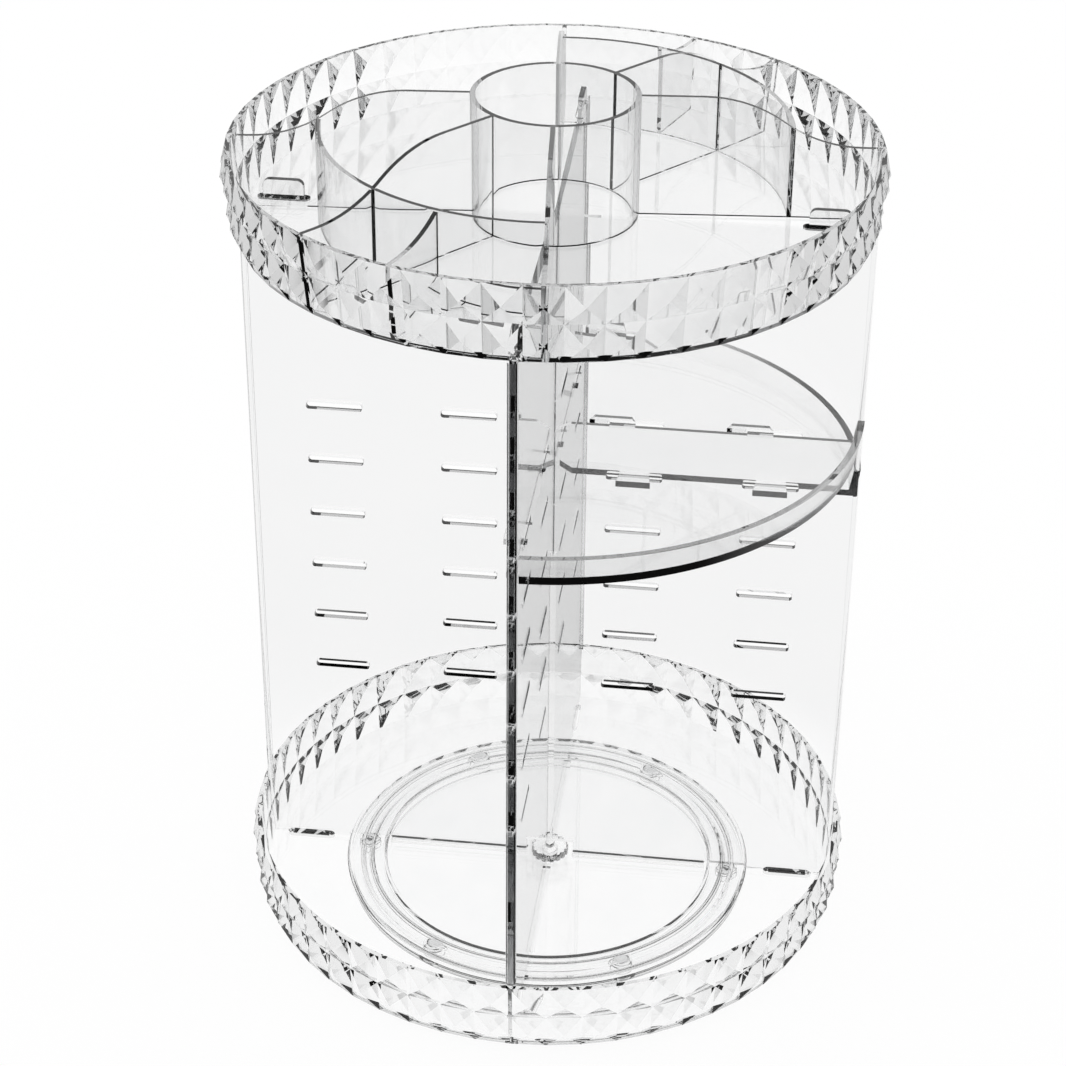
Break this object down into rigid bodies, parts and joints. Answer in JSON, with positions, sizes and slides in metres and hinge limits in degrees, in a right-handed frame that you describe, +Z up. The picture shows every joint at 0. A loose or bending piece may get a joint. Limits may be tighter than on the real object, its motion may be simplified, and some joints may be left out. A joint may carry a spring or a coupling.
{
  "type": "rotating makeup organizer",
  "caption": "Clear round turntable organizer with faceted base and top trays, crossed slotted panels, hook-in quarter shelves, a central cup and curved dividers.",
  "frame": {"origin": "centre of the foot's underside, on the table", "axes": "+Z up along the turntable's axis, the panels lie along X and Y, -Y is the front"},
  "size_m": [0.229, 0.2286, 0.3252],
  "materials": {
    "clear_tray": "clear polished",
    "clear_panel": "clear polished",
    "clear_shelf": "clear polished",
    "clear_fitting": "clear moulded",
    "clear_ball": "clear polished",
    "clear_pad": "clear soft"
  },
  "bodies": {
    "foot": {"foot_plate": "clear_fitting", "foot_pad_1": "clear_pad", "foot_pad_2": "clear_pad", "foot_pad_3": "clear_pad", "foot_pad_4": "clear_pad", "foot_pad_5": "clear_pad", "foot_pad_6": "clear_pad", "pivot_cap": "clear_fitting", "pivot_pin": "clear_fitting"},
    "base": {"base_tray": "clear_tray", "panel_left_right": "clear_panel", "panel_front_back": "clear_panel"},
    "cage": {"ball_cage": "clear_fitting", "bearing_ball_1": "clear_ball", "bearing_ball_2": "clear_ball", "bearing_ball_3": "clear_ball", "bearing_ball_4": "clear_ball", "bearing_ball_5": "clear_ball", "bearing_ball_6": "clear_ball"},
    "shelf_front_right": {"shelf_front_right": "clear_shelf"},
    "shelf_back_right": {"shelf_back_right": "clear_shelf"},
    "top_tray": {"top_tray": "clear_tray"}
  },
  "joints": [
    {"name": "turntable_spin", "type": "hinge", "parent": "foot", "child": "base", "pos_m": [0, 0, 0.005], "axis": [0, 0, 1], "continuous": true},
    {"name": "cage_orbit", "type": "hinge", "parent": "foot", "child": "cage", "pos_m": [0, 0, 0.005], "axis": [0, 0, 1], "continuous": true},
    {"name": "shelf_front_right_slide", "type": "slide", "parent": "base", "child": "shelf_front_right", "axis": [1, 0, 0], "range_m": [0, 0.0086]},
    {"name": "shelf_back_right_slide", "type": "slide", "parent": "base", "child": "shelf_back_right", "axis": [0, 1, 0], "range_m": [0, 0.0086]},
    {"name": "top_tray_lift", "type": "slide", "parent": "base", "child": "top_tray", "axis": [0, 0, 1], "range_m": [0, 0.05]}
  ],
  "couplings": [
    {"joint": "cage_orbit", "follows": "turntable_spin", "ratio": 0.5}
  ]
}
